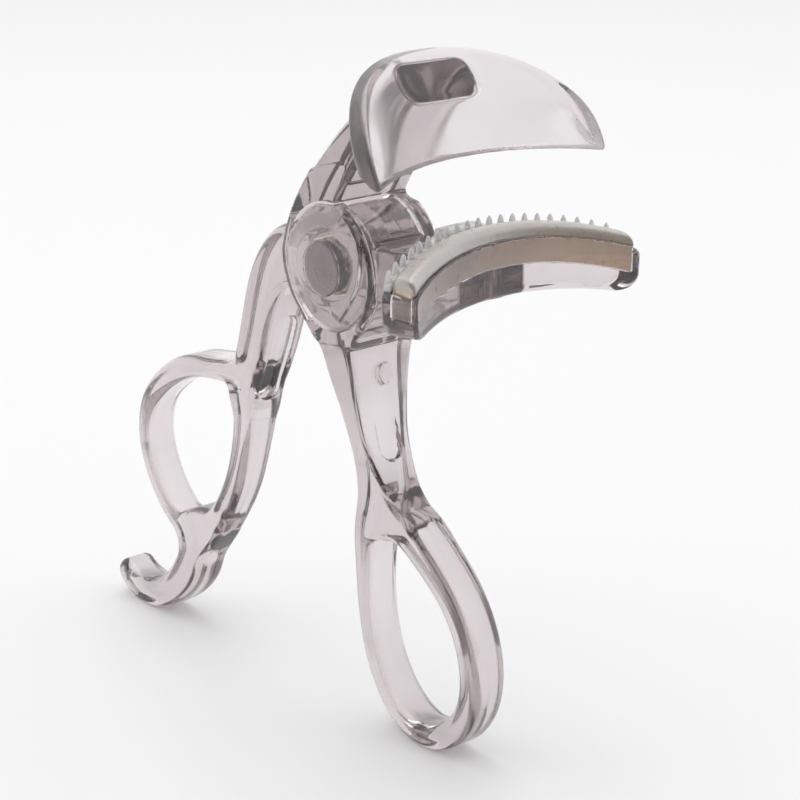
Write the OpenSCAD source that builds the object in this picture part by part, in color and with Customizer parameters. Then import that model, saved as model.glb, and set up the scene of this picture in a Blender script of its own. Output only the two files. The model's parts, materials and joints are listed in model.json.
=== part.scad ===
// Eyelash curler: two clear moulded levers crossed on one pin, held open by a torsion spring.
// X runs across the jaws, -Y points at the eye, +Z is up. The tool stands on its two handles
// at Z = 0. Shapes are worked out around the hinge axis and moved up at the end.

/* [Hinge] */
// Height of the hinge axis above the table
hinge_z = 66.3; // [66.2:0.1:66.5]
// How far the hinge axis lies behind the middle of the tool
hinge_y = -12.9; // [-14:0.1:-12]
// Radius of the moving knuckle
knuckle_r = 8.6; // [8:0.1:9]
// Radius of the two fixed cheeks
cheek_r = 9.3; // [9:0.1:9.8]
// Half of the width over both cheeks
barrel_half = 6.4; // [6:0.1:7.5]
// Thickness of each cheek
cheek_t = 2; // [1.6:0.1:2.4]
// Radius of the pin's shank
pin_r = 2.2; // [1.8:0.1:2.4]
// Radius of the pin's head and of its cap
head_r = 3.7; // [3.4:0.1:4]
// Running clearance around the shank
run_fit = 0.05; // [0.02:0.01:0.1]

/* [Jaws] */
// Turn of the lower lever from fully open towards closed, in degrees
squeeze = 0; // [0:1:19]
// Half of the width of the upper jaw
hood_half = 19.4; // [17:0.2:21]
// Height of the upper jaw at its middle
hood_rise = 12.6; // [10:0.2:14]
// Radius of the upper jaw seen from above
hood_r = 37.5; // [34:0.5:42]
// Half of the width of the lower jaw
tray_half = 20; // [17:0.2:20.4]
// Radius of the lower jaw seen from above
tray_r = 35.5; // [33:0.5:40]
// Depth of the lower jaw from front to back
tray_depth = 5.2; // [4.8:0.1:6]

/* [Pad and comb] */
// Width of the silicone bead
bead_w = 3.3; // [3:0.1:3.5]
// Height of the bead above the tray's front wall
bead_h = 1.7; // [1.2:0.1:2]
// Number of comb teeth
tooth_count = 21; // [15:2:23]
// Height of a comb tooth above its rail
tooth_h = 1.5; // [1.2:0.1:2]

/* [Spring] */
// Diameter of the spring wire
wire_d = 0.8; // [0.6:0.1:1]
// Mean radius of the spring coil
coil_r = 3.6; // [3.4:0.1:4.2]
// Number of turns
coil_turns = 5; // [3:1:5]

/* [Hidden] */
$fn = 64;

clear_plastic = [0.72, 0.68, 0.69, 0.55];
dark_plastic = [0.62, 0.57, 0.59, 0.6];
silicone = [0.86, 0.84, 0.8, 0.9];
comb_white = [0.93, 0.94, 0.93, 0.9];
steel = [0.72, 0.72, 0.7];

gap = 0.3;
cheek_in = barrel_half - cheek_t;
knuckle_half = cheek_in - 0.2;
cheek_y = -0.7;
boss_r = 7.8;
boss_proud = 0.35;
head_t = 1;
wide_r = cheek_r + 1.1;
stop_low = 14;
stop_high = 34;
stop_r = 10.6;
coil_x0 = -cheek_in + 0.6;
coil_pitch = wire_d + 0.08;
pocket_in = coil_r - wire_d / 2 - 0.3;
pocket_out = coil_r + wire_d / 2 + 0.6;
pocket_end = coil_x0 + coil_pitch * coil_turns + wire_d / 2 + 0.1;

// The upper jaw's lower front edge at the middle, from the hinge
edge_y = -22;
edge_z = 17.5;
hood_tilt = 11;
blade_t = 1.4;
rim_t = 2.2;
end_t = 4;
hood_square = 2.4;
hood_lean = 20;
hood_curl = 0.02;

// The lower jaw's upper front edge at the middle, from the hinge
wall_y = -28.5;
wall_z = 7.6;
tray_tilt = 28;
tray_low = 7.2;
tray_low_end = 6;
slot_front = 0.8;
slot_w = 3.2;
slot_deep = 3.5;
end_wall = 1.1;
tooth_r = 0.5;
tooth_back = 4.65;
tooth_pitch = 1.86;
rail_h = 0.9;
rail_half = 0.52;
foot_half = 3.3;
foot_back = 9.6;
foot_top = 0.75;
foot_low = -2.4;

// Handle centre lines from the hinge: [y, z, half thickness in the side view, half width]
front_arm = [[-1.35, -12.4, 3.35, 5.55], [-1.6, -14.5, 3.05, 5.2], [-2.05, -17, 2.65, 4.9],
    [-2.6, -19.5, 2.3, 4.6], [-3.1, -22, 2.1, 4.3], [-3.7, -24.5, 2.05, 4], [-4.4, -27, 2.3, 3.7],
    [-5.2, -30, 2.9, 3.45], [-5.9, -33, 3.5, 3.35], [-6.2, -34.6, 3.2, 3.1]];
front_loop = [[-2.8, -41, 1.9, 3], [-3, -49.5, 1.6, 2.9], [-5.4, -58, 1.7, 2.9],
    [-9.6, -63, 1.8, 2.9], [-15.2, -64.8, 1.8, 3], [-20.7, -62.4, 1.9, 3],
    [-24.2, -57, 2, 3], [-24.4, -50.6, 2.1, 3], [-21.2, -43.7, 2.2, 3],
    [-15.3, -38.2, 2.3, 3], [-8, -34.8, 2.4, 3.2], [-3.9, -36.4, 2.2, 3.2]];
rear_arm = [[7.2, -0.2, 4.4, 3.9], [11.6, -0.6, 4.2, 3.9], [16, -4, 3.7, 3.9],
    [18.9, -9.5, 3.3, 3.9], [21, -15.6, 3.1, 3.8], [23.8, -22.4, 2.9, 3.4],
    [24.9, -24.8, 2.2, 2.4]];
rear_loop = [[25.6, -22.6, 2.3, 2.9], [31, -21.9, 1.8, 2.7], [38, -23, 1.8, 2.7],
    [45.2, -26.6, 1.8, 2.7], [50.2, -32, 1.8, 2.7], [51.2, -37.6, 1.8, 2.7],
    [48.6, -44.4, 1.8, 2.7], [43.4, -49.2, 1.9, 2.7], [38, -50.2, 2.2, 2.8],
    [32.2, -45.4, 2, 2.8], [28.2, -39, 2, 2.8], [25.6, -31.4, 2.2, 2.9],
    [24.8, -25.8, 2.5, 3]];
tail = [[38.6, -50.8, 2.5, 2.4], [40.7, -55.8, 3, 2.9], [45.8, -61.5, 2.5, 2.9],
    [52, -64.2, 2.4, 2.9], [57, -63.6, 2.4, 2.9], [59.1, -61.7, 1.6, 2], [59.7, -60.8, 0.6, 0.8]];

// ---- Curves ----
function blend4(a, b, c, d, t) =
    0.5 * (2 * b + (c - a) * t + (2 * a - 5 * b + 4 * c - d) * t * t
        + (3 * b - a - 3 * c + d) * t * t * t);
function open_curve(p, steps) = let (n = len(p)) concat(
    [for (i = [0:n - 2]) for (k = [0:steps - 1])
        blend4(p[max(i - 1, 0)], p[i], p[i + 1], p[min(i + 2, n - 1)], k / steps)],
    [p[n - 1]]);
function closed_curve(p, steps) = let (n = len(p))
    [for (i = [0:n - 1]) for (k = [0:steps - 1])
        blend4(p[(i + n - 1) % n], p[i], p[(i + 1) % n], p[(i + 2) % n], k / steps)];

// One cross section of a handle: a soft rectangle around the point q, square to direction d
function rod_ring(q, d, sides) = let (m = [-d[1], d[0]] / norm(d))
    [for (k = [0:sides - 1]) let (a = 360 * (k + 0.5) / sides, c = cos(a), s = sin(a),
            u = sign(c) * pow(abs(c), 0.75) * q[3], v = sign(s) * pow(abs(s), 0.75) * q[2])
        [u, q[0] + m[0] * v, q[1] + m[1] * v]];

// A skin over a list of rings with the same number of points
module skin(rings, closed = false) {
    n = len(rings);
    s = len(rings[0]);
    last = closed ? n - 1 : n - 2;
    sides = [for (i = [0:last]) for (k = [0:s - 1])
        let (j = (i + 1) % n, m = (k + 1) % s) [i * s + k, i * s + m, j * s + m, j * s + k]];
    caps = closed ? [] : [[for (k = [s - 1:-1:0]) k], [for (k = [0:s - 1]) (n - 1) * s + k]];
    polyhedron([for (r = rings) for (p = r) p], concat(sides, caps));
}

module rod(points, steps = 5, closed = false, sides = 12) {
    c = closed ? closed_curve(points, steps) : open_curve(points, steps);
    n = len(c);
    skin([for (i = [0:n - 1])
        let (a = closed ? c[(i + n - 1) % n] : c[max(i - 1, 0)],
            b = closed ? c[(i + 1) % n] : c[min(i + 1, n - 1)])
        rod_ring(c[i], [b[0] - a[0], b[1] - a[1]], sides)], closed);
}

// Round bar along X
module bar(r, x0, x1) translate([x0, 0, 0]) rotate([0, 90, 0]) cylinder(r = r, h = x1 - x0);

// Side view outline of [y, z] points, as thick as the given half width in X
module side_plate(points, half)
    translate([-half, 0, 0]) rotate([90, 0, 90]) linear_extrude(2 * half) polygon(points);

// Everything is drawn around the hinge axis and placed here
module at_hinge() translate([0, hinge_y, hinge_z]) children();
module on_lower_lever() at_hinge() rotate([-squeeze, 0, 0]) children();

// The slab below the table top, which leaves a small flat under each handle
module below_table() translate([-20, -60 - hinge_y, -10 - hinge_z]) cube([40, 140, 10]);

// ---- Lower jaw curve ----
function sag(r, x) = r - sqrt(r * r - x * x);
function tray_point(x, back, up) = let (slant = cos(asin(x / tray_r)))
    [x, wall_y - sag(tray_r, x) + back / slant, wall_z - tan(tray_tilt) * sag(tray_r, x) + up];

// An upright cross section, a function of x, swept across the lower jaw
module across(half, section_points, steps = 36)
    skin([for (i = [0:steps]) let (x = half * (2 * i / steps - 1))
        [for (p = section_points) tray_point(x, p[0], p[1] + p[2] * pow(x / tray_half, 2))]]);

module tray_block(half, back0, back1, up0, up1, drop = 0)
    across(half, [[back0, up0, drop], [back0, up1, 0], [back1, up1, 0], [back1, up0, drop]]);

// ---- Upper lever ----
function hood_top(x) =
    edge_z + hood_rise * pow(1 - pow(abs(x) / (hood_half + 0.05), hood_square), 1 / hood_square);
function hood_low(x) = edge_z - tan(hood_tilt) * sag(hood_r, x);
function hood_point(x, v, back) = let (low = hood_low(x), top = max(hood_top(x), low + 0.9),
        z = low + (top - low) * v, dz = z - edge_z, full = rim_t + (end_t - rim_t) * pow(x / hood_half, 2),
        thick = blade_t + (full - blade_t) * sin(90 * min(1, 1.4 * v)))
    [x, edge_y - sag(hood_r, x) + tan(hood_lean) * dz + hood_curl * dz * dz + back * thick,
        z - back * thick * 0.25 * v];

module upper_jaw() color(clear_plastic) at_hinge() {
    up = 8;
    skin([for (i = [0:36]) let (x = hood_half * sin(180 * i / 36 - 90)) concat(
        [for (k = [0:up]) hood_point(x, k / up, 0)],
        [for (k = [up:-1:0]) hood_point(x, k / up, 1)])]);
}

// Room behind the upper jaw's sheet, used to end the arm on its back face
module behind_hood() {
    up = 8;
    skin([for (i = [0:12]) let (x = i * 16 / 12 - 8) concat(
        [for (k = [0:up]) hood_point(x, k / up, 1)],
        [[x, -8, 36], [x, 30, 36], [x, 30, -40], [x, -20, edge_z - 2]])]);
}

arm_outline = [[-20.4, 25.6], [-15.5, 23.4], [-10.6, 19.6], [-6.6, 14.8], [-4.2, 11.4], [-2.8, 8.4],
    [0, 5], [6, 4], [8.5, 3], [7.6, 5.6], [6.2, 8], [4.2, 10.8], [1.4, 14.4], [-2, 18.2],
    [-5.6, 21.8], [-9.4, 25], [-12.4, 27], [-15, 28], [-20, 28.4]];

module upper_arm() color(clear_plastic) at_hinge() difference() {
    intersection() {
        side_plate(arm_outline, barrel_half);
        behind_hood();
    }
    bar(knuckle_r + gap, -cheek_in, cheek_in);
    translate([0, cheek_y, 0]) bar(cheek_r, -barrel_half - 1, -cheek_in);
    translate([0, cheek_y, 0]) bar(cheek_r, cheek_in, barrel_half + 1);
    stop_cut();
}

// The wedge of space in which the stop lug travels
module stop_cut() side_plate([[0, 0], [20, 20 * tan(stop_high)], [20, -20], [0, -20]], cheek_in);

module cheek(side) mirror([side > 0 ? 0 : 1, 0, 0]) difference() {
    union() {
        translate([0, cheek_y, 0]) bar(cheek_r, cheek_in, barrel_half);
        bar(boss_r, barrel_half, barrel_half + boss_proud);
    }
    bar(pin_r, cheek_in - 1, barrel_half + 2);
    bar(head_r, barrel_half + boss_proud - head_t, barrel_half + 2);
}

module left_cheek() color(dark_plastic) at_hinge() cheek(-1);
module right_cheek() color(dark_plastic) at_hinge() cheek(1);

root_outline = [[-6, -4], [-8.4, -5.2], [-5.8, -10.2], [-4.7, -10.7], [-4.65, -12.6], [2.2, -12.6],
    [2.8, -10.4], [4, -8.4], [4.4, -5], [0, -3]];

module handle_root() color(clear_plastic) at_hinge() difference() {
    side_plate(root_outline, barrel_half);
    bar(knuckle_r + gap, -cheek_in, cheek_in);
    translate([0, cheek_y, 0]) bar(cheek_r, -barrel_half - 1, -cheek_in);
    translate([0, cheek_y, 0]) bar(cheek_r, cheek_in, barrel_half + 1);
}

module front_loop_rod() rod(front_loop, 4, true);

module front_handle() color(clear_plastic) at_hinge() difference() {
    rod(front_arm);
    front_loop_rod();
    side_plate(root_outline, barrel_half);
}

module front_finger_ring() color(clear_plastic) at_hinge() difference() {
    front_loop_rod();
    below_table();
}

module pivot_pin() color(dark_plastic) at_hinge() {
    bar(pin_r, -barrel_half - boss_proud + head_t, barrel_half - head_t + boss_proud);
    bar(head_r, -barrel_half - boss_proud, -barrel_half - boss_proud + head_t);
}

module pin_cap() color(dark_plastic) at_hinge()
    bar(head_r, barrel_half + boss_proud - head_t, barrel_half + boss_proud);

// ---- Spring ----
module torsion_spring() color(steel) on_lower_lever() {
    steps = 24;
    sides = 8;
    skin([for (i = [0:steps * coil_turns]) let (turn = i / steps)
        [for (k = [0:sides - 1]) let (a = 360 * k / sides, r = coil_r + wire_d / 2 * cos(a))
            [coil_x0 + coil_pitch * turn - wire_d / 2 * sin(a), -r * cos(360 * turn),
                r * sin(360 * turn)]]]);
}

// ---- Lower lever ----
module knuckle() color(dark_plastic) on_lower_lever() difference() {
    bar(knuckle_r, -knuckle_half, knuckle_half);
    bar(pin_r + run_fit, -knuckle_half - 1, knuckle_half + 1);
    difference() {
        bar(pocket_out, -knuckle_half - 1, pocket_end);
        bar(pocket_in, -knuckle_half - 1, pocket_end);
    }
}

// The lug that meets the underside of the upper arm when the jaws are open
module stop_lug() color(dark_plastic) on_lower_lever() difference() {
    intersection() {
        bar(stop_r, -knuckle_half, knuckle_half);
        side_plate([[0, 0], [20, 20 * tan(stop_low)], [20, 20 * tan(stop_high - 0.1)]],
            knuckle_half);
    }
    bar(knuckle_r, -barrel_half, barrel_half);
}

lower_arm_outline = [[-4, 4.4], [-12, 4.6], [-30, 5.4], [-30, -0.6], [-19, -1.4], [-13.4, -2.8],
    [-4, -2.8]];

module lower_arm() color(clear_plastic) on_lower_lever() difference() {
    union() {
        side_plate(lower_arm_outline, knuckle_half);
        difference() {
            side_plate(lower_arm_outline, barrel_half - 0.2);
            bar(wide_r, -barrel_half, barrel_half);
        }
    }
    bar(knuckle_r, -barrel_half, barrel_half);
    translate([0, wall_y - tray_r, -20]) cylinder(r = tray_r + tray_depth + 0.03, h = 60, $fn = 180);
}

module lower_jaw() color(clear_plastic) on_lower_lever() difference() {
    tray_block(tray_half, 0, tray_depth, -tray_low, 0, tray_low - tray_low_end);
    tray_block(tray_half - end_wall, slot_front, slot_front + slot_w, -slot_deep, 1);
}

module lash_pad() color(silicone) on_lower_lever() {
    mid = slot_front + slot_w / 2;
    half = tray_half - end_wall - 0.1;
    root = slot_w / 2 - 0.03;
    across(half, concat(
        [[mid + root, 0.03, 0], [mid + root, -slot_deep + 0.03, 0],
            [mid - root, -slot_deep + 0.03, 0], [mid - root, 0.03, 0]],
        [for (a = [180:-20:0]) [mid + bead_w / 2 * cos(a), 0.05 + bead_h * sin(a), 0]]));
}

// The comb's base strip, with the foot that holds it on the lower arm
module comb_rail() color(comb_white) on_lower_lever() {
    tray_block(tray_half - 0.8, tooth_back - rail_half, tooth_back + rail_half, 0, rail_h);
    across(foot_half, [[tooth_back, 0.3, 0], [tooth_back, foot_top, 0], [foot_back - 0.3, foot_top, 0],
        [foot_back, 0.3, 0]], 5);
    across(foot_half - 0.2, [[tray_depth + 0.1, foot_low, 0], [tray_depth + 0.1, 0.5, 0],
        [foot_back - 0.2, 0.5, 0], [foot_back - 0.2, foot_low, 0]], 5);
}

module comb_teeth() color(comb_white) on_lower_lever()
    for (i = [0:tooth_count - 1])
        translate(tray_point((i - (tooth_count - 1) / 2) * tooth_pitch, tooth_back, rail_h))
            cylinder(r1 = tooth_r, r2 = 0.15, h = tooth_h);

module rear_loop_rod() rod(rear_loop, 4, true);

module rear_handle() color(clear_plastic) on_lower_lever() difference() {
    rod(rear_arm);
    rear_loop_rod();
    bar(knuckle_r, -barrel_half, barrel_half);
    side_plate([[0, 0], [stop_r, stop_r * tan(stop_low)], [stop_r + 1, 20], [0, 20]], barrel_half);
}

module rear_finger_ring() color(clear_plastic) on_lower_lever() rear_loop_rod();

module little_finger_rest() color(clear_plastic) on_lower_lever() difference() {
    rod(tail);
    rear_loop_rod();
    below_table();
}

upper_jaw();
upper_arm();
left_cheek();
right_cheek();
handle_root();
front_handle();
front_finger_ring();
pivot_pin();
pin_cap();
torsion_spring();
knuckle();
stop_lug();
lower_arm();
lower_jaw();
lash_pad();
comb_rail();
comb_teeth();
rear_handle();
rear_finger_ring();
little_finger_rest();
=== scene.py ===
"""Looks of the eyelash curler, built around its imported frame.

The two clear mouldings are modelled as smooth fields: a function gives the distance from any point to the
plastic, negative inside. A mesh is then laid on the field's surface. All shapes are in millimetres from the
hinge axis, X along the pin, -Y towards the eye and +Z up, and to_row() puts them in the frame in metres.
"""

import json
import math

import bpy
import numpy as np
from mathutils import Matrix, Vector


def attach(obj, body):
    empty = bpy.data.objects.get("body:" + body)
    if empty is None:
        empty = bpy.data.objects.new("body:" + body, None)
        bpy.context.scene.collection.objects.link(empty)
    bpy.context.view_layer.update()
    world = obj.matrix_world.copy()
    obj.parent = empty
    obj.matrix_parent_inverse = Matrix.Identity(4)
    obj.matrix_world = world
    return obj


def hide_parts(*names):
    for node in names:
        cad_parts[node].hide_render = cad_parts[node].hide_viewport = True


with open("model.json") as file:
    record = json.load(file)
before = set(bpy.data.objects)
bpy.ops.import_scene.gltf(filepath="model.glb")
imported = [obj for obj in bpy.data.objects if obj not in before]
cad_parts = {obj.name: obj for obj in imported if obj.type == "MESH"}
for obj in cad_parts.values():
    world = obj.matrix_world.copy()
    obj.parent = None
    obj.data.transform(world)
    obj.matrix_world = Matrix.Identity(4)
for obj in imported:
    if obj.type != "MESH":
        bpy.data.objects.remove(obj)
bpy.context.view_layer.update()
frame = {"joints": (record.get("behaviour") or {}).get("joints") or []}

MM = 0.001
HINGE = np.array(frame["joints"][0]["pos_m"]) / MM
FLOOR_Z = -HINGE[2]
CELL = 0.36


# ---------------------------------------------------------------- curves

def spline(points, closed=False, step=0.45):
    """Points along a smooth cubic curve through the given ones. Every column is blended the same way."""
    p = np.array(points, float)
    if closed:
        p = np.vstack([p, p[:1]])
    gaps = np.hypot(*np.diff(p[:, :2], axis=0).T)
    t = np.concatenate([[0], np.cumsum(gaps)])
    n = len(p)
    a = np.zeros((n, n))
    b = np.zeros((n, p.shape[1]))
    slopes = np.diff(p, axis=0) / gaps[:, None]
    for i in range(1, n - 1):
        a[i, i - 1:i + 2] = gaps[i - 1], 2 * (gaps[i - 1] + gaps[i]), gaps[i]
        b[i] = 6 * (slopes[i] - slopes[i - 1])
    if closed:
        a[0, :2] = 2 * (gaps[-1] + gaps[0]), gaps[0]
        a[0, n - 2] = gaps[-1]
        b[0] = 6 * (slopes[0] - slopes[-1])
        a[-1, 0], a[-1, -1] = 1, -1
    else:
        a[0, 0] = a[-1, -1] = 1
    m = np.linalg.solve(a, b)
    u = np.linspace(0, t[-1], int(t[-1] / step) + 2)
    if closed:
        u = u[:-1]
    k = np.clip(np.searchsorted(t, u, side="right") - 1, 0, n - 2)
    h = gaps[k][:, None]
    r = ((u - t[k])[:, None]) / h
    return (1 - r) * p[k] + r * p[k + 1] + h * h / 6 * (
        ((1 - r) ** 3 - (1 - r)) * m[k] + (r ** 3 - r) * m[k + 1])


# ---------------------------------------------------------------- fields

def join(a, b, r):
    """Both shapes, with a fillet of radius r between them."""
    return np.maximum(r, np.minimum(a, b)) - np.hypot(np.maximum(r - a, 0), np.maximum(r - b, 0))


def meet(a, b, r):
    """What both shapes share, with edges rounded to radius r."""
    return -join(-a, -b, r)


def cut(a, b, r):
    """The first shape without the second, with edges rounded to radius r."""
    return -join(-a, b, r)


FAR = 6.0
WIDEST = 6.4


def near(q, low, high):
    """True for the points within FAR of a box."""
    return ((q > np.array(low) - FAR) & (q < np.array(high) + FAR)).all(1)


def strip(q, line, closed=False):
    """Distance in the side view to a ribbon along a curve of close [y, z, half thickness] rows."""
    thickest = line[:, 2].max()
    low = [-WIDEST, line[:, 0].min() - thickest, line[:, 1].min() - thickest]
    high = [WIDEST, line[:, 0].max() + thickest, line[:, 1].max() + thickest]
    out = np.full(len(q), FAR)
    chosen = np.flatnonzero(near(q, low, high))
    n = len(line)
    for part in np.array_split(chosen, max(1, len(chosen) // 20000)):
        p = q[part]
        d = (p[:, 1:2] - line[:, 0]) ** 2 + (p[:, 2:3] - line[:, 1]) ** 2
        i = d.argmin(1)
        rows = np.arange(len(p))
        before = (i - 1) % n if closed else np.maximum(i - 1, 0)
        after = (i + 1) % n if closed else np.minimum(i + 1, n - 1)
        e0, e1, e2 = d[rows, before], d[rows, i], d[rows, after]
        bend = e0 - 2 * e1 + e2
        t = np.where((before != i) & (after != i), 0.5 * (e0 - e2) / np.maximum(bend, 1e-9), 0.0)
        t = np.clip(t, -0.5, 0.5)
        flat = np.sqrt(np.maximum(e1 - 0.25 * (e0 - e2) * t, 0))
        a, b, c = line[before, 2], line[i, 2], line[after, 2]
        out[part] = flat - (b + 0.5 * (c - a) * t + 0.5 * (a - 2 * b + c) * t * t)
    return out


def wide(z, table):
    """Half width in X at a height, from a spline of [z, half width] rows that runs downwards."""
    return np.interp(z, table[::-1, 0], table[::-1, 1])


def bar(q, r, x0, x1, y=0.0, z=0.0, edge=0.3):
    """A round bar along X."""
    across = np.hypot(q[:, 1] - y, q[:, 2] - z) - r
    along = np.abs(q[:, 0] - (x0 + x1) / 2) - (x1 - x0) / 2
    return meet(across, along, edge)


def outline(q, points):
    """Distance in the side view to a polygon of [y, z] points."""
    p = np.array(points, float)
    y, z = q[:, 1], q[:, 2]
    best = np.full(len(q), 1e9)
    inside = np.zeros(len(q), bool)
    for (ay, az), (by, bz) in zip(p, np.roll(p, -1, axis=0)):
        ey, ez = by - ay, bz - az
        t = np.clip(((y - ay) * ey + (z - az) * ez) / (ey * ey + ez * ez), 0, 1)
        best = np.minimum(best, np.hypot(y - ay - t * ey, z - az - t * ez))
        if az != bz:
            inside ^= ((az > z) != (bz > z)) & (y < ey * (z - az) / ez + ay)
    return np.where(inside, -best, best)


def plate(q, points, half, edge):
    """The side view's polygon, with the given half width in X."""
    return meet(outline(q, points), np.abs(q[:, 0]) - half, edge)


# ---------------------------------------------------------------- sizes

KNUCKLE_R, KNUCKLE_HALF = 8.6, 4.2
CHEEK_R, CHEEK_IN, CHEEK_Y = 9.3, 4.4, -0.7
GAP = 0.3
PIN_R, HEAD_R, BOSS_PROUD = 2.2, 3.7, 0.35
LUG_R = 10.6
ARM_TOP = 28.3
COIL_R, WIRE_R, COIL_X0, COIL_PITCH, COIL_TURNS = 3.6, 0.4, -3.8, 0.88, 5

EDGE_Y, EDGE_Z, HOOD_R, HOOD_HALF, HOOD_RISE, HOOD_SQUARE = -22.0, 17.5, 37.5, 19.4, 12.6, 2.4
HOOD_TILT, HOOD_LEAN, HOOD_CURL = math.tan(math.radians(11)), math.tan(math.radians(20)), 0.02
BLADE_T, RIM_T, END_T = 1.4, 2.2, 4.0

WALL_Y, WALL_Z, TRAY_R, TRAY_HALF, TRAY_DEPTH = -28.5, 7.6, 35.5, 20.0, 5.2
TRAY_TILT = math.tan(math.radians(28))
TRAY_LOW, TRAY_LOW_END, END_WALL, END_TILT = 7.2, 6.0, 1.1, 0.16
SLOT_FRONT, SLOT_W, SLOT_DEEP = 0.8, 3.2, 3.5
BEAD_W, BEAD_H, BEAD_FRONT, BEAD_STEPS = 3.3, 1.7, 1.2, 24
TOOTH_BACK, TOOTH_PITCH, TOOTH_COUNT, TOOTH_H, TOOTH_R = 4.65, 1.86, 21, 1.5, 0.5
RAIL_H, RAIL_HALF, RAIL_END = 0.9, 0.52, 0.8
FOOT_HALF, FOOT_BACK, FOOT_TOP, FOOT_LOW = 3.2, 9.6, 0.75, -2.4

# The hollows in the handles: middle, half of the straight part, half width and depth, and the handle's face
FRONT_HOLLOW_Z, FRONT_HOLLOW_LONG, FRONT_HOLLOW_HALF, FRONT_HOLLOW_DEEP = -21.2, 4, 1.75, 0.35
FRONT_FACE = np.array([[-30, -8.1], [-27, -6.7], [-24.5, -5.75], [-22, -5.2], [-19.5, -4.9], [-14, -4.6]])
REAR_HOLLOW_Z, REAR_HOLLOW_LONG, REAR_HOLLOW_HALF, REAR_HOLLOW_DEEP = -18, 5, 1.9, 0.9
REAR_FACE = np.array([[-26, 22.3], [-22, 20.9], [-15.6, 18.0], [-9.5, 15.8], [-6, 14.2]])
DROP_Z, DROP_LONG, DROP_HALF, DROP_Y = -14.6, 2.4, 1.3, -5.6

# Centre lines in the side view: [y, z, half thickness]
ARM = spline([[5.0, 1.0, 4.0], [3.2, 6.2, 3.7], [1.3, 9.2, 3.5], [-1.4, 12.9, 3.15], [-4.3, 16.5, 2.9],
    [-7.6, 19.9, 2.75], [-11.2, 23.2, 2.55], [-14.6, 25.6, 2.35], [-17.0, 26.8, 2.3]])
FRONT_ARM = spline([[-1.0, -8.6, 4.2], [-1.2, -11, 3.5], [-1.6, -14.5, 3.05], [-2.05, -17, 2.65],
    [-2.6, -19.5, 2.3], [-3.1, -22, 2.1], [-3.7, -24.5, 2.05], [-4.4, -27, 2.3], [-5.2, -30, 2.9],
    [-5.9, -33, 3.5], [-6.2, -34.4, 3.4]])
FRONT_LOOP = spline([[-2.8, -41, 1.9], [-3, -49.5, 1.6], [-5.4, -58, 1.7], [-9.6, -63, 1.8],
    [-15.2, -64.8, 1.8], [-20.7, -62.4, 1.9], [-24.2, -57, 2], [-24.4, -50.6, 2.1], [-21.2, -43.7, 2.2],
    [-15.3, -38.2, 2.3], [-8, -34.8, 2.4], [-3.9, -36.4, 2.2]], closed=True)
REAR_ARM = spline([[3.2, -0.4, 4.4], [7.2, -0.2, 4.4], [11.6, -0.6, 4.2], [16, -4, 3.7], [18.9, -9.5, 3.3],
    [21, -15.6, 3.1], [23.6, -22.0, 2.9], [24.6, -24.6, 2.6]])
REAR_LOOP = spline([[25.6, -22.6, 2.3], [31, -21.9, 1.8], [38, -23, 1.8], [45.2, -26.6, 1.8],
    [50.2, -32, 1.8], [51.2, -37.6, 1.8], [48.6, -44.4, 1.8], [43.4, -49.2, 1.9], [38, -50.2, 2.2],
    [32.2, -45.4, 2], [28.2, -39, 2], [25.6, -31.4, 2.2], [24.8, -25.8, 2.5]], closed=True)
TAIL = spline([[37.6, -48.4, 2.3], [38.6, -50.8, 2.5], [40.7, -55.8, 3], [45.8, -61.5, 2.5], [52, -64.2, 2.4],
    [57, -63.4, 2.3], [58.4, -62.5, 2.1]])

# Half widths down the two levers: [z, half width]
UPPER_WIDTH = spline([[34, 6.3], [10, 6.3], [4, 6.4], [-7, 6.4], [-9.4, 6.25], [-11.4, 5.75], [-14.5, 5.2],
    [-17, 4.9], [-19.5, 4.6], [-22, 4.3], [-24.5, 4.0], [-27, 3.7], [-30, 3.45], [-33, 3.35], [-37, 3.2],
    [-41, 3.05], [-49.5, 2.95], [-58, 2.95], [-67, 3.05]])
REAR_WIDTH = spline([[12, 3.9], [-9.5, 3.9], [-15.6, 3.8], [-20, 3.5], [-24, 3.1], [-28, 2.85], [-40, 2.75],
    [-50, 2.8], [-56, 2.9], [-67, 2.9]])

# Side view outlines, [y, z]: the housing behind and under the hinge, the raised boss round the pin, the room
# that the stop lug turns in, the stop lug, and the lower arm
HOUSING = [[-0.5, 11.5], [2.9, 13.0], [5.0, 10.0], [6.9, 6.9], [8.35, 3.9], [9.1, 1.0], [8.9, -1.8],
    [7.7, -4.5], [5.7, -6.9], [3.9, -9.4], [2.9, -10.9], [-3.6, -10.7], [-5.7, -10.3], [-9.0, -3.9], [-4, 0]]
BOSS = [[-4.6, 8.2], [-6.2, 7.0], [-7.6, 5.2], [-8.2, 3.2], [-8.1, 1.0], [-7.3, -1.6], [-5.4, -4.6],
    [-3.4, -6.9], [-2.2, -6.6], [-1.6, -5.2], [0.6, -5.3], [3.2, -4.3], [4.9, -2.2], [5.4, 0], [4.9, 2.3],
    [3.4, 4.2], [0.8, 5.3], [-1.8, 5.6], [-3.6, 6.6]]
LUG_ROOM = [[0, 0], [20, 13.49], [20, -18], [4.6, -8.2]]
LUG = [[0, 0], [20, 4.99], [20, 13.4]]
LOWER_ARM = [[-6, 4.4], [-12, 4.6], [-30, 5.4], [-30, -0.6], [-19, -1.4], [-13.4, -2.8], [-6, -2.8]]

# How rough the plastic is where it is frosted
BOSS_FROST, BACK_FROST, EDGE_FROST, TIP_FROST, BLOCK_FROST = 0.5, 0.16, 0.25, 0.5, 0.08

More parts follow.
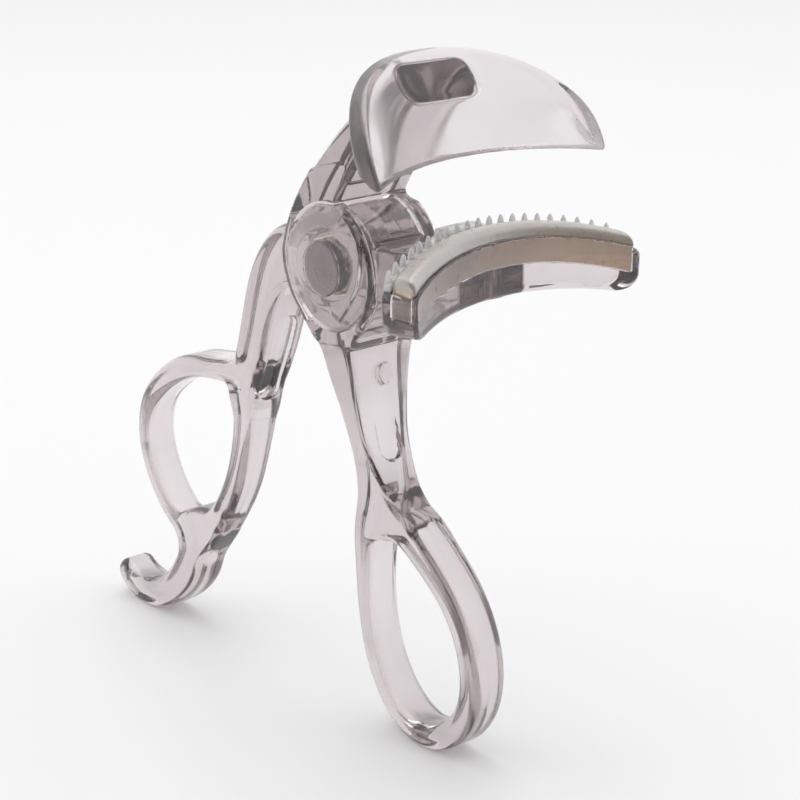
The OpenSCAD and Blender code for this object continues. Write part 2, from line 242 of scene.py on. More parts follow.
# Light and camera
ABSORPTION = 74
BRIGHT_SIDE, WORLD_LIGHT = (0.60, 0.42, 0.68), 1.03
ROOM_FROM, SKY_FROM = 0.30, 0.60
ROOM_COLOUR = (0.15, 0.125, 0.125, 1)
CAMERA_FROM_HINGE = (-182.25, -223.05, 71.82)
CAMERA_AZIMUTH, CAMERA_ELEVATION, CAMERA_ROLL = (math.radians(a) for a in (-40.31, 17.67, -0.57))
CAMERA_LENS = 98.2


# ---------------------------------------------------------------- upper lever

def sag(r, x):
    """How far a curve of radius r falls back at x."""
    return r - np.sqrt(r * r - np.minimum(x * x, 0.9 * r * r))


def hood(q):
    """The upper jaw: a thin sheet, bowed round the eye, with a blade edge below and a thicker rim."""
    x, y, z = q.T
    bow = sag(HOOD_R, x)
    dz = z - EDGE_Z
    low = EDGE_Z - HOOD_TILT * bow
    side = np.minimum(np.abs(x) / HOOD_HALF, 1)
    top = EDGE_Z + HOOD_RISE * (1 - side ** HOOD_SQUARE) ** (1 / HOOD_SQUARE)
    v = np.clip((z - low) / np.maximum(top - low, 0.9), 0, 1)
    full = RIM_T + (END_T - RIM_T) * side ** 2
    thick = BLADE_T + (full - BLADE_T) * np.sin(np.pi / 2 * np.minimum(1, 1.4 * v))
    face = EDGE_Y - bow + HOOD_LEAN * dz + HOOD_CURL * dz * dz
    slope = np.sqrt(1 + x * x / (HOOD_R ** 2 - np.minimum(x * x, 0.9 * HOOD_R ** 2))
        + (HOOD_LEAN + 2 * HOOD_CURL * dz) ** 2)
    sheet = (np.abs(y - face - thick / 2) - thick / 2) / slope
    u, w = np.abs(x) / HOOD_HALF, np.maximum(dz, 0) / HOOD_RISE
    s = np.maximum((u ** HOOD_SQUARE + w ** HOOD_SQUARE) ** (1 / HOOD_SQUARE), 1e-6)
    pull = np.hypot((u / s) ** (HOOD_SQUARE - 1) / HOOD_HALF, (w / s) ** (HOOD_SQUARE - 1) / HOOD_RISE)
    rim = (s - 1) / np.maximum(pull, 0.02)
    return meet(meet(sheet, np.clip(rim, -FAR, FAR), 0.7), low - z, 0.45)


def behind_hood(q):
    """Positive in front of the upper jaw's face, so that the arm ends in the sheet."""
    x, y, z = q.T
    dz = z - EDGE_Z
    ahead = (EDGE_Y - sag(HOOD_R, x) + HOOD_LEAN * dz + HOOD_CURL * dz * dz + 0.6 - y) / 1.2
    return np.where(z > 12, ahead, -FAR)


def front_pocket(q):
    """A shallow hollow in the front of the front handle, deepest at its round lower end."""
    x, y, z = q.T
    along = np.maximum(np.abs(z - FRONT_HOLLOW_Z) - FRONT_HOLLOW_LONG, 0)
    across = np.hypot(x, along) - FRONT_HOLLOW_HALF
    face = np.interp(z, FRONT_FACE[:, 0], FRONT_FACE[:, 1])
    floor = face + FRONT_HOLLOW_DEEP * np.clip((-18.5 - z) / 7, 0, 1)
    return meet(across, y - floor, 0.15)


def drop_mark(q):
    """The raised drop on the front of the front handle."""
    x, y, z = q.T
    up = z - DROP_Z
    low = np.clip(-up / DROP_LONG, 0, 1)
    across = np.hypot(x, np.where(up > 0, up, 0.25 * up)) - DROP_HALF * (1 - low ** 1.6)
    return meet(np.clip(across, -FAR, FAR), DROP_Y - y, 0.3)


def upper_lever(q):
    """The upper jaw, its arm, the two cheeks, the front handle and its ring, with the pin's seats cut out."""
    x = np.abs(q[:, 0])
    side = join(np.hypot(q[:, 1] - CHEEK_Y, q[:, 2]) - CHEEK_R, outline(q, HOUSING), 0.6)
    side = join(side, strip(q, ARM), 0.8)
    handle = join(strip(q, FRONT_ARM), strip(q, FRONT_LOOP, closed=True), 2.2)
    side = join(side, handle, 0.35)
    edge = np.interp(q[:, 2], [-38, -30, 12, 22], [1.4, 0.9, 0.9, 2.1])
    f = meet(side, x - wide(q[:, 2], UPPER_WIDTH), edge)
    f = cut(f, meet(outline(q, LUG_ROOM), x - CHEEK_IN, 0.2), 0.3)
    f = meet(f, behind_hood(q), 0.3)
    f = meet(f, q[:, 2] - ARM_TOP, 1.0)
    f = join(f, hood(q), 1.2)
    f = join(f, meet(outline(q, BOSS), x - WIDEST - BOSS_PROUD, 0.35), 0.5)
    f = cut(f, front_pocket(q), 0.3)
    f = join(f, meet(drop_mark(q), q[:, 1] + 3, 0.05), 0.03)
    f = cut(f, bar(q, KNUCKLE_R + GAP, -CHEEK_IN, CHEEK_IN, edge=0.2), 0.3)
    f = cut(f, bar(q, PIN_R + 0.02, -9, 9), 0.1)
    f = cut(f, bar(q, HEAD_R + 0.05, WIDEST + BOSS_PROUD - 1.0, 9), 0.15)
    f = cut(f, bar(q, HEAD_R + 0.05, -9, -WIDEST - BOSS_PROUD + 1.0), 0.15)
    return meet(f, FLOOR_Z - q[:, 2], 0.3)


# ---------------------------------------------------------------- lower lever

def tray_place(q):
    """Coordinates that follow the lower jaw: x, how far behind its front wall, and how far over its edge."""
    x, y, z = q.T
    bow = sag(TRAY_R, x)
    slant = np.sqrt(1 - np.minimum((x / TRAY_R) ** 2, 0.9))
    return x, (y - WALL_Y + bow) * slant, z - WALL_Z + TRAY_TILT * bow


def tray(q):
    """The lower jaw: a curved tray with the pad's slot along its top."""
    x, back, up = tray_place(q)
    x = np.abs(x)
    low = TRAY_LOW + (TRAY_LOW_END - TRAY_LOW) * (x / TRAY_HALF) ** 2
    lean = END_TILT * (TRAY_DEPTH - np.clip(back, 0, TRAY_DEPTH))
    end = (x + lean - TRAY_HALF) / math.hypot(1, END_TILT)
    body = meet(-up - low, meet(end, up, 1.1), 2.8)
    depth = np.abs(back - TRAY_DEPTH / 2) - TRAY_DEPTH / 2
    body = meet(body, depth, 0.12 + 0.6 * np.clip(-up / 5, 0, 1))
    slot = meet(np.abs(back - SLOT_FRONT - SLOT_W / 2) - SLOT_W / 2, x - TRAY_HALF + END_WALL, 0.2)
    slot = meet(slot, -SLOT_DEEP - up, 0.2)
    return cut(body, slot, 0.15)


def rear_pocket(q):
    """A long hollow in the side of the rear handle that faces the front one."""
    x, y, z = q.T
    along = np.maximum(np.abs(z - REAR_HOLLOW_Z) - REAR_HOLLOW_LONG, 0)
    across = np.hypot(x, along) - REAR_HOLLOW_HALF
    face = np.interp(z, REAR_FACE[:, 0], REAR_FACE[:, 1])
    return meet(across, y - face - REAR_HOLLOW_DEEP, 0.3)


def lower_lever(q):
    """The knuckle with its stop lug and spring pocket, the arm, the tray, and the rear handle with its ring
    and little finger rest."""
    x = np.abs(q[:, 0])
    f = bar(q, KNUCKLE_R, -KNUCKLE_HALF, KNUCKLE_HALF, edge=0.4)
    lug = meet(outline(q, LUG), np.hypot(q[:, 1], q[:, 2]) - LUG_R, 0.4)
    f = join(f, meet(lug, x - KNUCKLE_HALF, 0.4), 0.2)
    broad = cut(plate(q, LOWER_ARM, WIDEST - 0.2, 0.9), bar(q, CHEEK_R + 1.1, -12, 12), 0.7)
    narrow = plate(q, LOWER_ARM, KNUCKLE_HALF, 0.5)
    arm = join(broad, narrow, 0.3)
    _, back, _ = tray_place(q)
    arm = meet(arm, TRAY_DEPTH - 0.8 - back, 0.2)
    f = join(f, arm, 0.4)
    f = join(f, tray(q), 0.8)
    rear = join(strip(q, REAR_ARM), strip(q, REAR_LOOP, closed=True), 2.2)
    rear = join(rear, strip(q, TAIL), 3.5)
    rear = meet(rear, x - wide(q[:, 2], REAR_WIDTH), 1.4)
    f = join(f, cut(rear, rear_pocket(q), 0.3), 0.4)
    f = cut(f, bar(q, PIN_R + 0.05, -9, 9), 0.1)
    pocket = bar(q, COIL_R + WIRE_R + 0.6, -9, 1.1, edge=0.2)
    pocket = cut(pocket, bar(q, COIL_R - WIRE_R - 0.3, -9, 9), 0.1)
    f = cut(f, pocket, 0.15)
    return meet(f, FLOOR_Z - q[:, 2], 0.3)


# ---------------------------------------------------------------- mesh on a field

EDGES = [(a, b) for a in range(8) for b in range(a + 1, 8) if bin(a ^ b).count("1") == 1]
BLOCK = 8


def sample(field, low, counts):
    """The field's values on a grid, worked out only in the blocks of cells that its surface may cross."""
    blocks = [-(-c // BLOCK) for c in counts]
    size = BLOCK * CELL
    at = np.stack(np.meshgrid(*[np.arange(b) for b in blocks], indexing="ij"), -1).reshape(-1, 3)
    centre = field(low + (at + 0.5) * size - CELL / 2)
    values = np.repeat(np.repeat(np.repeat(
        np.where(centre < 0, -FAR, FAR).reshape(blocks).astype(np.float32), BLOCK, 0), BLOCK, 1), BLOCK, 2)
    inner = np.stack(np.meshgrid(*[np.arange(BLOCK)] * 3, indexing="ij"), -1).reshape(-1, 3)
    active = at[np.abs(centre) < 1.15 * size]
    for part in np.array_split(active, max(1, len(active) // 400)):
        cells = (part[:, None] * BLOCK + inner[None]).reshape(-1, 3)
        values[tuple(cells.T)] = field(low + cells * CELL)
    return values


def surface_net(values, low):
    """Quads with one vertex in each cell that the surface crosses."""
    inside = values < 0
    count = sum(inside[a:a + inside.shape[0] - 1, b:b + inside.shape[1] - 1, c:c + inside.shape[2] - 1]
        .astype(np.int8) for a in (0, 1) for b in (0, 1) for c in (0, 1))
    cells = np.argwhere((count > 0) & (count < 8))
    number = np.full(count.shape, -1, np.int32)
    number[tuple(cells.T)] = np.arange(len(cells))
    corner = np.array([[(k >> 2) & 1, (k >> 1) & 1, k & 1] for k in range(8)])
    v = np.stack([values[tuple((cells + c).T)] for c in corner], 1).astype(float)
    total = np.zeros((len(cells), 3))
    weight = np.zeros(len(cells))
    for a, b in EDGES:
        crossed = (v[:, a] < 0) != (v[:, b] < 0)
        t = np.where(crossed, v[:, a] / np.where(crossed, v[:, a] - v[:, b], 1), 0)
        total += crossed[:, None] * (corner[a] + t[:, None] * (corner[b] - corner[a]))
        weight += crossed
    points = low + (cells + total / weight[:, None]) * CELL
    quads = []
    for axis in range(3):
        step = np.eye(3, dtype=int)[axis]
        i, j = [np.eye(3, dtype=int)[k] for k in range(3) if k != axis]
        here = inside[tuple(slice(0, n - s) for n, s in zip(inside.shape, step))]
        there = inside[tuple(slice(s, n) for n, s in zip(inside.shape, step))]
        e = np.argwhere(here != there)
        e = e[(e[:, (axis + 1) % 3] > 0) & (e[:, (axis + 2) % 3] > 0)]
        ring = np.stack([number[tuple((e - s).T)] for s in (0 * i, i, i + j, j)], 1)
        flip = here[tuple(e.T)] ^ (axis != 1)
        ring[flip] = ring[flip][:, ::-1]
        quads.append(ring)
    return points, np.vstack(quads)


def slope_of(field, p, d=0.04):
    """The field and its gradient at some points."""
    corners = np.array([[1, 1, 1], [1, -1, -1], [-1, 1, -1], [-1, -1, 1]])
    v = [field(p + c * d) for c in corners]
    return sum(v) / 4, sum(f[:, None] * c for f, c in zip(v, corners)) / (4 * d)


def relax(field, p, quads, rounds=4):
    """Pulls the vertices onto the surface, and evens them out along it."""
    a = quads.ravel()
    b = np.roll(quads, -1, axis=1).ravel()
    ends, others = np.concatenate([a, b]), np.concatenate([b, a])
    share = np.bincount(ends, minlength=len(p))
    for _ in range(rounds):
        f, g = slope_of(field, p)
        size = np.maximum((g * g).sum(1), 0.05)
        p = p - np.clip(f / size, -CELL, CELL)[:, None] * g
        normal = g / np.sqrt(size)[:, None]
        mean = np.stack([np.bincount(ends, row, len(p)) for row in p[others].T], 1) / share[:, None]
        move = mean - p
        p = p + 0.5 * (move - (move * normal).sum(1)[:, None] * normal)
    f, g = slope_of(field, p)
    size = np.maximum((g * g).sum(1), 0.05)
    return p - np.clip(f / size, -CELL, CELL)[:, None] * g


def to_row(p):
    """From millimetres round the hinge to metres in the frame."""
    return (np.asarray(p) + HINGE) * MM


def new_mesh(name, points, faces, normals=None):
    """A smooth-shaded object from points in millimetres around the hinge."""
    mesh = bpy.data.meshes.new(name)
    if normals is not None:
        faces = faces.tolist()
    mesh.from_pydata(to_row(points).tolist(), [], faces)
    mesh.polygons.foreach_set("use_smooth", [True] * len(mesh.polygons))
    if normals is not None:
        mesh.normals_split_custom_set_from_vertices(normals.tolist())
    mesh.update()
    thing = bpy.data.objects.new(name, mesh)
    bpy.context.scene.collection.objects.link(thing)
    return thing


def frost_of(p):
    """How frosted the plastic is: above the raised boss at the hinge, on the back of the upper jaw, at its
    tips, along the front of its lower edge, and on the arm's end behind it."""
    x, _, z = p.T
    boss = outline(p, BOSS)
    beside = (np.abs(x) > WIDEST - 0.1) & (boss > 0.3) & (boss < 2.2) & (z > 2)
    ahead = behind_hood(p)
    sheet = (hood(p) < 0.05) & (z > 11)
    low = EDGE_Z - HOOD_TILT * sag(HOOD_R, x)
    edge = np.clip(1 - (z - low) / 3, 0, 1) * np.clip((x + 4) / 6, 0, 1)
    tip = (np.abs(x) > HOOD_HALF - 1.3) & sheet
    tip = tip * np.where(x > 0, 1, 0.3)
    jaw = sheet * np.where(ahead < -0.15, BACK_FROST, EDGE_FROST * edge)
    block = (ahead < -0.15) & (z > 18)
    return np.maximum.reduce([BOSS_FROST * beside, jaw, TIP_FROST * tip, BLOCK_FROST * block])


def moulding(name, field, low, high):
    """A mesh on a field's surface, with the field's own slopes as its normals."""
    low = np.array(low, float)
    counts = np.ceil((np.array(high) - low) / CELL).astype(int)
    points, quads = surface_net(sample(field, low, counts), low)
    points = relax(field, points, quads)
    _, g = slope_of(field, points)
    normals = g / np.maximum(np.linalg.norm(g, axis=1), 1e-6)[:, None]
    thing = new_mesh(name, points, quads, normals)
    frost = thing.data.attributes.new("frost", "FLOAT", "POINT")
    frost.data.foreach_set("value", frost_of(points).astype(np.float32))
    return thing


# ---------------------------------------------------------------- small pieces

def tray_point(x, back, up):
    """The place that tray_place() gives these coordinates to."""
    slant = math.sqrt(1 - (x / TRAY_R) ** 2)
    bow = TRAY_R - math.sqrt(TRAY_R ** 2 - x * x)
    return [x, WALL_Y - bow + back / slant, WALL_Z - TRAY_TILT * bow + up]


def loft(name, rings, closed=False):
    """A skin over rings of points, with its ends filled."""
    n, s = len(rings), len(rings[0])
    points = [p for ring in rings for p in ring]
    faces = []
    for i in range(n if closed else n - 1):
        for k in range(s):
            j, m = (i + 1) % n, (k + 1) % s
            faces.append([i * s + k, i * s + m, j * s + m, j * s + k])
    if not closed:
        faces.append(list(range(s - 1, -1, -1)))
        faces.append([(n - 1) * s + k for k in range(s)])
    return new_mesh(name, points, faces)


ROOT_POINTS = 6


def pad_section(bead, shrink):
    """The pad's section, [back, up] from the tray's edge: a D-shaped bead over a root."""
    middle = SLOT_FRONT + SLOT_W / 2
    root = SLOT_W / 2 - 0.05
    deep = SLOT_DEEP - 0.05
    section = [[middle + root, 0.03], [middle + root, -deep + 0.3], [middle + root - 0.3, -deep],
        [middle - root + 0.3, -deep], [middle - root, -deep + 0.3], [middle - root, 0.03]]
    for k in range(BEAD_STEPS + 1):
        a = math.pi * (1 - k / BEAD_STEPS)
        c, s = math.cos(a), math.sin(a)
        half = BEAD_W / 2 * (0.8 + 0.2 * bead)
        side = half * math.copysign(abs(c) ** 0.8, c) * (BEAD_FRONT if c < 0 else 1)
        section.append([middle + side, 0.06 + BEAD_H * bead * s ** 0.8])
    return [[middle + (b - middle) * shrink, (u + 0.4) * shrink - 0.4] for b, u in section]


def make_pad():
    """The silicone strip, with the bead's upper corners rounded off at both ends. The root attribute is 0 on
    the bead. On the root it grows towards +X and sets a painted browner tint, which stands for the amber of
    light passing through the thick silicone."""
    half = TRAY_HALF - END_WALL - 0.12
    places = [half * math.sin(math.pi / 2 * (i / 60 - 1)) for i in range(121)]
    rings = []
    for x in places:
        corner = min(1, max(0, (abs(x) - half + 0.7) / 0.7))
        bead = 0.75 + 0.25 * math.sqrt(1 - corner ** 2)
        edge = min(1, max(0, (abs(x) - half + 0.3) / 0.3))
        shrink = 1 - 0.12 * (1 - math.sqrt(1 - edge ** 2))
        rings.append([tray_point(x, b, u) for b, u in pad_section(bead, shrink)])
    thing = loft("silicone_pad", rings)
    # The root attribute carries painted light: a warm tint on the root for light passing through thick
    # silicone, growing towards +X
    root = thing.data.attributes.new("root", "FLOAT", "POINT")
    values = []
    for x in places:
        painted_root_tint = 0.5 + 0.45 * min(1, max(0, (x + 9) / 16))
        values += [painted_root_tint if k < ROOT_POINTS else 0.0 for k in range(len(rings[0]))]
    root.data.foreach_set("value", values)
    return thing


def make_spring():
    """The torsion spring's coil round the pin."""
    rings = []
    steps, sides = 40, 12
    for i in range(steps * COIL_TURNS + 1):
        turn = i / steps
        a = 2 * math.pi * turn
        ring = []
        for k in range(sides):
            w = 2 * math.pi * k / sides
            r = COIL_R + WIRE_R * math.cos(w)
            x = COIL_X0 + COIL_PITCH * turn - WIRE_R * math.sin(w)
            ring.append([x, -r * math.cos(a), r * math.sin(a)])
        rings.append(ring)
    return loft("torsion_spring_wire", rings)


def lathe(name, profile, sides=72):
    """A solid of revolution round the pin's axis, from [x, radius] points that start and end on the axis."""
    rings = []
    for x, r in profile:
        rings.append([[x, r * math.cos(2 * math.pi * k / sides), r * math.sin(2 * math.pi * k / sides)]
            for k in range(sides)])
    return loft(name, rings)


def make_pin():
    """The pin, with its flat head flush in the left cheek."""
    out = -WIDEST - BOSS_PROUD
    profile = [[out, 0.01], [out, 1.5], [out + 0.05, 2.7], [out - 0.02, HEAD_R - 0.25],
        [out + 0.1, HEAD_R - 0.05], [out + 0.25, HEAD_R], [out + 0.95, HEAD_R], [out + 0.98, PIN_R + 0.1],
        [out + 1.1, PIN_R], [-out - 1.05, PIN_R], [-out - 1.0, PIN_R - 0.1], [-out - 1.0, 0.01]]
    return lathe("hinge_pin", profile)


def make_cap():
    """The cap on the pin's other end, in the right cheek."""
    out = WIDEST + BOSS_PROUD
    profile = [[out - 0.97, 0.01], [out - 0.97, HEAD_R - 0.1], [out - 0.9, HEAD_R], [out - 0.25, HEAD_R],
        [out - 0.1, HEAD_R - 0.05], [out + 0.02, HEAD_R - 0.25], [out - 0.05, 2.7], [out, 1.5], [out, 0.01]]
    return lathe("hinge_pin_cap", profile)


def swept(section, half, steps):
    """Points and faces of a bar with a given [back, up] section along the tray's edge."""
    points, faces = [], []
    n = len(section)
    for i in range(steps + 1):
        x = half * (2 * i / steps - 1)
        points += [tray_point(x, b, u) for b, u in section]
    for i in range(steps):
        for k in range(n):
            m = (k + 1) % n
            faces.append([i * n + k, i * n + m, (i + 1) * n + m, (i + 1) * n + k])
    faces.append(list(range(n - 1, -1, -1)))
    faces.append([steps * n + k for k in range(n)])
    return points, faces


def make_rail():
    """The comb's base strip behind the bead, with the foot that holds it on the lower arm."""
    b = TOOTH_BACK
    strip_points, strip_faces = swept([[b + RAIL_HALF, RAIL_H - 0.2], [b + 0.35, RAIL_H],
        [b - 0.35, RAIL_H], [b - RAIL_HALF, RAIL_H - 0.2], [b - RAIL_HALF, 0.02], [b + RAIL_HALF, 0.02]],
        TRAY_HALF - RAIL_END, 60)
    foot_points, foot_faces = swept([[FOOT_BACK, 0.1], [FOOT_BACK - 0.3, FOOT_TOP], [b + 0.3, FOOT_TOP],
        [b + 0.3, 0.05], [b + 1.0, 0.05], [b + 1.0, FOOT_LOW], [FOOT_BACK, FOOT_LOW]], FOOT_HALF, 8)
    base = len(strip_points)
    faces = strip_faces + [[i + base for i in face] for face in foot_faces]
    return new_mesh("comb_rail_strip", strip_points + foot_points, faces)


def make_teeth():
    """A row of petal-shaped teeth."""
    sides, levels = 16, 10
    points, faces = [], []
    for t in range(TOOTH_COUNT):
        x = (t - (TOOTH_COUNT - 1) / 2) * TOOTH_PITCH
        base = len(points)
        for k in range(levels):
            v = k / (levels - 1)
            r = max(0.03, TOOTH_R * (1 - v ** 2.2) ** 0.55)
            centre = tray_point(x, TOOTH_BACK, RAIL_H - 0.25 + (TOOTH_H + 0.25) * v)
            for i in range(sides):
                a = 2 * math.pi * i / sides
                points.append([centre[0] + r * math.cos(a), centre[1] + 0.85 * r * math.sin(a), centre[2]])
        for k in range(levels - 1):
            for i in range(sides):
                j = (i + 1) % sides
                low, high = base + k * sides, base + (k + 1) * sides
                faces.append([low + i, low + j, high + j, high + i])
        faces.append([base + i for i in range(sides - 1, -1, -1)])
        faces.append([base + (levels - 1) * sides + i for i in range(sides)])
    return new_mesh("comb_teeth_row", points, faces)


# ---------------------------------------------------------------- materials

def shader(name):
    """A new material, its nodes and links, and its main shader."""
    material = bpy.data.materials.new(name)
    material.use_nodes = True
    nodes, links = material.node_tree.nodes, material.node_tree.links
    return material, nodes, links, nodes["Principled BSDF"]


def noise(nodes, links, scale, detail=3.0):
    """A noise pattern fixed to the piece. scale is in features per metre."""
    place = nodes.new("ShaderNodeTexCoord")
    pattern = nodes.new("ShaderNodeTexNoise")
    pattern.inputs["Scale"].default_value = scale
    pattern.inputs["Detail"].default_value = detail
    links.new(place.outputs["Object"], pattern.inputs["Vector"])
    return pattern.outputs["Fac"]


def spread(nodes, links, value, low, high, start=0.35, stop=0.65):
    """Turns a pattern into values between low and high."""
    step = nodes.new("ShaderNodeMapRange")
    for name, number in zip(("From Min", "From Max", "To Min", "To Max"), (start, stop, low, high)):
        step.inputs[name].default_value = number
    links.new(value, step.inputs["Value"])
    return step.outputs[0]


def combine(nodes, links, a, b, operation="ADD"):
    """The sum or product of two values."""
    total = nodes.new("ShaderNodeMath")
    total.operation = operation
    links.new(a, total.inputs[0])
    links.new(b, total.inputs[1])
    return total.outputs[0]


def attribute(nodes, name):
    """A value that the mesh carries at its vertices."""
    reader = nodes.new("ShaderNodeAttribute")
    reader.attribute_name = name
    return reader.outputs["Fac"]


def bump(nodes, links, height, bsdf, strength, distance):
    """A fine relief on the surface. distance is in metres."""
    relief = nodes.new("ShaderNodeBump")
    relief.inputs["Strength"].default_value = strength
    relief.inputs["Distance"].default_value = distance
    links.new(height, relief.inputs["Height"])
    links.new(relief.outputs[0], bsdf.inputs["Normal"])


def clear_plastic(name, rough_low, rough_high, density, see_through, tint):
    """Smoky see-through plastic with an uneven surface, rougher where the mesh says that it is frosted."""
    material, nodes, links, bsdf = shader(name)
    cloud = nodes.new("ShaderNodeValToRGB")
    first, last = cloud.color_ramp.elements
    first.position, first.color = 0.3, (*(0.92 * c for c in tint), 1)
    last.position, last.color = 0.7, (*tint, 1)
    links.new(noise(nodes, links, 90, 2), cloud.inputs[0])
    links.new(cloud.outputs[0], bsdf.inputs["Base Color"])
    bsdf.inputs["Transmission Weight"].default_value = see_through
    bsdf.inputs["IOR"].default_value = 1.56
    grain = spread(nodes, links, noise(nodes, links, 6000, 2), 0.92, 1.08)
    speckle = combine(nodes, links, attribute(nodes, "frost"), grain, "MULTIPLY")
    smear = spread(nodes, links, noise(nodes, links, 220), rough_low, rough_high)
    links.new(combine(nodes, links, smear, speckle), bsdf.inputs["Roughness"])
    bump(nodes, links, noise(nodes, links, 120, 1), bsdf, 0.12, 0.00008)
    absorb = nodes.new("ShaderNodeVolumeAbsorption")
    absorb.inputs["Color"].default_value = (0.45, 0.33, 0.34, 1)
    absorb.inputs["Density"].default_value = density
    links.new(absorb.outputs[0], nodes["Material Output"].inputs["Volume"])
    return material


def silicone():
    """Milky silicone with a faint mottle and a satin skin. The root in its slot is painted browner than the
    bead:
    a painted tint for the amber of light passing through thick silicone, with the paler bead standing for
    light from above.
    """
    material, nodes, links, bsdf = shader("milky_silicone")
    mottle = spread(nodes, links, noise(nodes, links, 180), 0.0, 0.18)
    # The ramp paints light: the pale bead colour at 0, and a browner painted tint for the root's transmitted
    # light towards 1
    ramp = nodes.new("ShaderNodeValToRGB")
    first, last = ramp.color_ramp.elements
    first.position, first.color = 0.0, (0.36, 0.335, 0.31, 1)
    last.position, last.color = 1.0, (0.95, 0.66, 0.37, 1)
    middle = ramp.color_ramp.elements.new(0.5)
    middle.color = (0.44, 0.35, 0.25, 1)
    links.new(combine(nodes, links, attribute(nodes, "root"), mottle), ramp.inputs[0])
    links.new(ramp.outputs[0], bsdf.inputs["Base Color"])
    bsdf.inputs["Transmission Weight"].default_value = 0.3
    bsdf.inputs["IOR"].default_value = 1.41
    links.new(spread(nodes, links, noise(nodes, links, 900), 0.26, 0.42), bsdf.inputs["Roughness"])
    bump(nodes, links, noise(nodes, links, 2600, 4), bsdf, 0.06, 0.00002)
    bsdf.inputs["Subsurface Weight"].default_value = 0.5
    bsdf.inputs["Subsurface Radius"].default_value = (0.002, 0.0017, 0.0013)
    return material


def comb_plastic():
    """Translucent white plastic."""
    material, nodes, links, bsdf = shader("milky_comb_plastic")
    bsdf.inputs["Base Color"].default_value = (0.95, 0.95, 0.94, 1)
    bsdf.inputs["Transmission Weight"].default_value = 0.42
    bsdf.inputs["IOR"].default_value = 1.45
    links.new(spread(nodes, links, noise(nodes, links, 700), 0.14, 0.3), bsdf.inputs["Roughness"])
    bump(nodes, links, noise(nodes, links, 900), bsdf, 0.06, 0.00003)
    return material


def steel():
    """Drawn wire, with fine streaks."""
    material, nodes, links, bsdf = shader("spring_wire_steel")
    ramp = nodes.new("ShaderNodeValToRGB")
    first, last = ramp.color_ramp.elements
    first.position, first.color = 0.35, (0.20, 0.18, 0.12, 1)
    last.position, last.color = 0.65, (0.62, 0.58, 0.44, 1)
    links.new(noise(nodes, links, 1400, 4), ramp.inputs[0])
    links.new(ramp.outputs[0], bsdf.inputs["Base Color"])
    bsdf.inputs["Metallic"].default_value = 1
    links.new(spread(nodes, links, noise(nodes, links, 2500), 0.14, 0.3), bsdf.inputs["Roughness"])
    return material


# ---------------------------------------------------------------- build

# The boxes that the two mouldings are looked for in
upper = moulding("upper_lever_moulding", upper_lever, [-20.4, -29.4, FLOOR_Z - 1], [20.4, 12, 31.5])
lower = moulding("lower_lever_moulding", lower_lever, [-20.4, -35.6, FLOOR_Z - 1], [20.4, 61.6, 10.4])
pad = make_pad()
spring = make_spring()
pin, cap = make_pin(), make_cap()
rail, teeth = make_rail(), make_teeth()

plastic = clear_plastic("clear_smoky_plastic", 0.02, 0.09, ABSORPTION, 0.96, (0.975, 0.948, 0.955))
pin_plastic = clear_plastic("clear_pin_plastic", 0.2, 0.32, 0.6 * ABSORPTION, 0.6, (0.62, 0.53, 0.535))
white = comb_plastic()
for piece, material, slot, body, nodes in [
    (upper, plastic, "clear_plastic", "upper_lever", ["upper_jaw", "upper_arm", "left_cheek", "right_cheek",
        "handle_root", "front_handle", "front_finger_ring"]),
    (lower, plastic, "clear_plastic", "lower_lever", ["knuckle", "stop_lug", "lower_arm", "lower_jaw",
        "rear_handle", "rear_finger_ring", "little_finger_rest"]),
    (pin, pin_plastic, "pin_plastic", "upper_lever", ["pivot_pin"]),
    (cap, pin_plastic, "pin_plastic", "upper_lever", ["pin_cap"]),
    (spring, steel(), "spring_steel", "lower_lever", ["torsion_spring"]),
    (pad, silicone(), "silicone", "lower_lever", ["lash_pad"]),
    (rail, white, "comb", "lower_lever", ["comb_rail"]),
    (teeth, white, "comb", "lower_lever", ["comb_teeth"]),
]:
    piece.data.materials.append(material)
    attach(piece, body)
    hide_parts(*nodes)


# ---------------------------------------------------------------- stage

def make_floor():
    """A wide pale table."""
    material, _, _, bsdf = shader("pale_floor")
    bsdf.inputs["Base Color"].default_value = (0.9, 0.9, 0.91, 1)
    bsdf.inputs["Roughness"].default_value = 0.7
    mesh = bpy.data.meshes.new("floor")
    s = 6.0
    mesh.from_pydata([(-s, -s, 0), (s, -s, 0), (s, s, 0), (-s, s, 0)], [], [(0, 1, 2, 3)])
    mesh.materials.append(material)
    floor = bpy.data.objects.new("floor", mesh)
    bpy.context.scene.collection.objects.link(floor)


def area_light(name, place, target, size, watts, colour=(1, 1, 1)):
    """A rectangular lamp that faces its target."""
    data = bpy.data.lights.new(name, "AREA")
    data.shape = "RECTANGLE"
    data.size, data.size_y = size
    data.energy = watts
    data.color = colour
    light = bpy.data.objects.new(name, data)
    light.location = place
    light.rotation_euler = (Vector(target) - Vector(place)).to_track_quat("-Z", "Y").to_euler()
    bpy.context.scene.collection.objects.link(light)


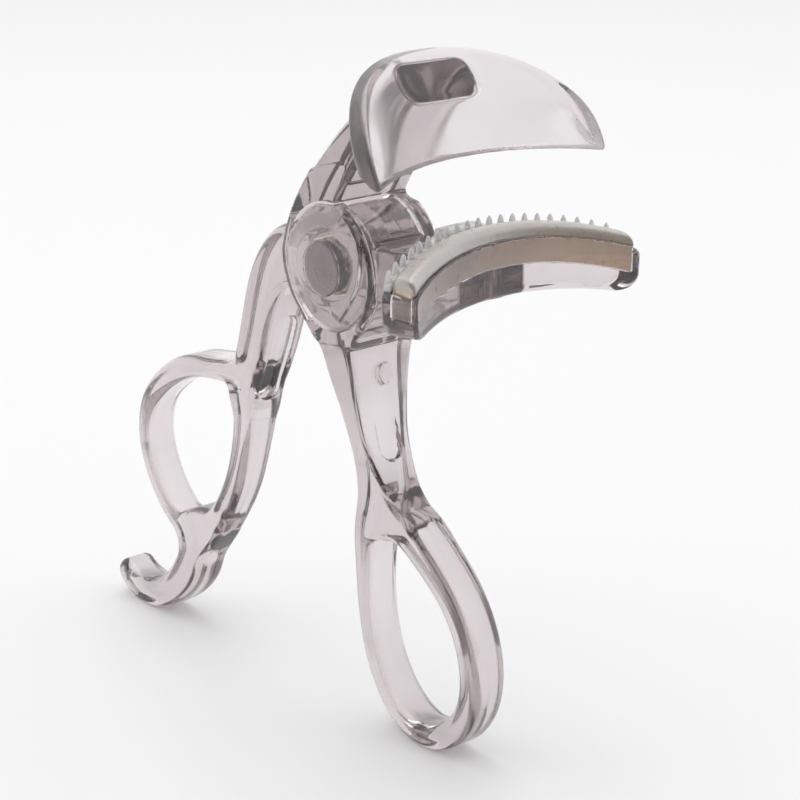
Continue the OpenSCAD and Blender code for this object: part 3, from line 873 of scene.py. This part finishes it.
def make_camera():
    """The view from the front left, a little above the table."""
    flat = math.cos(CAMERA_ELEVATION)
    away = Vector((math.sin(CAMERA_AZIMUTH) * flat, -math.cos(CAMERA_AZIMUTH) * flat,
        math.sin(CAMERA_ELEVATION)))
    right = Vector((0, 0, 1)).cross(away).normalized()
    up = away.cross(right)
    tilted_right = math.cos(CAMERA_ROLL) * right + math.sin(CAMERA_ROLL) * up
    tilted_up = -math.sin(CAMERA_ROLL) * right + math.cos(CAMERA_ROLL) * up
    data = bpy.data.cameras.new("camera")
    data.sensor_width = 36
    data.lens = CAMERA_LENS
    data.clip_start = 0.01
    data.clip_end = 50
    camera = bpy.data.objects.new("camera", data)
    bpy.context.scene.collection.objects.link(camera)
    turn = Matrix((tilted_right, tilted_up, away)).transposed()
    camera.matrix_world = Matrix.Translation(to_row(CAMERA_FROM_HINGE)) @ turn.to_4x4()
    bpy.context.scene.camera = camera


def make_world():
    """Soft light from above and behind the object, and a darker room on the viewer's side."""
    world = bpy.data.worlds.new("studio")
    world.use_nodes = True
    nodes, links = world.node_tree.nodes, world.node_tree.links
    place = nodes.new("ShaderNodeTexCoord")
    facing = nodes.new("ShaderNodeVectorMath")
    facing.operation = "DOT_PRODUCT"
    facing.inputs[1].default_value = BRIGHT_SIDE
    links.new(place.outputs["Generated"], facing.inputs[0])
    ramp = nodes.new("ShaderNodeValToRGB")
    ramp.color_ramp.interpolation = "EASE"
    first, last = ramp.color_ramp.elements
    first.position, first.color = ROOM_FROM, ROOM_COLOUR
    last.position, last.color = SKY_FROM, (1, 1, 1, 1)
    half = nodes.new("ShaderNodeMath")
    half.operation = "MULTIPLY_ADD"
    half.inputs[1].default_value = 0.5
    half.inputs[2].default_value = 0.5
    links.new(facing.outputs["Value"], half.inputs[0])
    links.new(half.outputs[0], ramp.inputs[0])
    links.new(ramp.outputs[0], nodes["Background"].inputs[0])
    nodes["Background"].inputs[1].default_value = WORLD_LIGHT
    bpy.context.scene.world = world


make_floor()
make_world()
area_light("top_softbox", (0.1, 0.25, 0.9), (0, 0, 0.04), (0.6, 0.6), 1.5)
make_camera()
bpy.context.scene.view_settings.view_transform = "Standard"
bpy.context.scene.cycles.max_bounces = 24
bpy.context.scene.cycles.transmission_bounces = 24
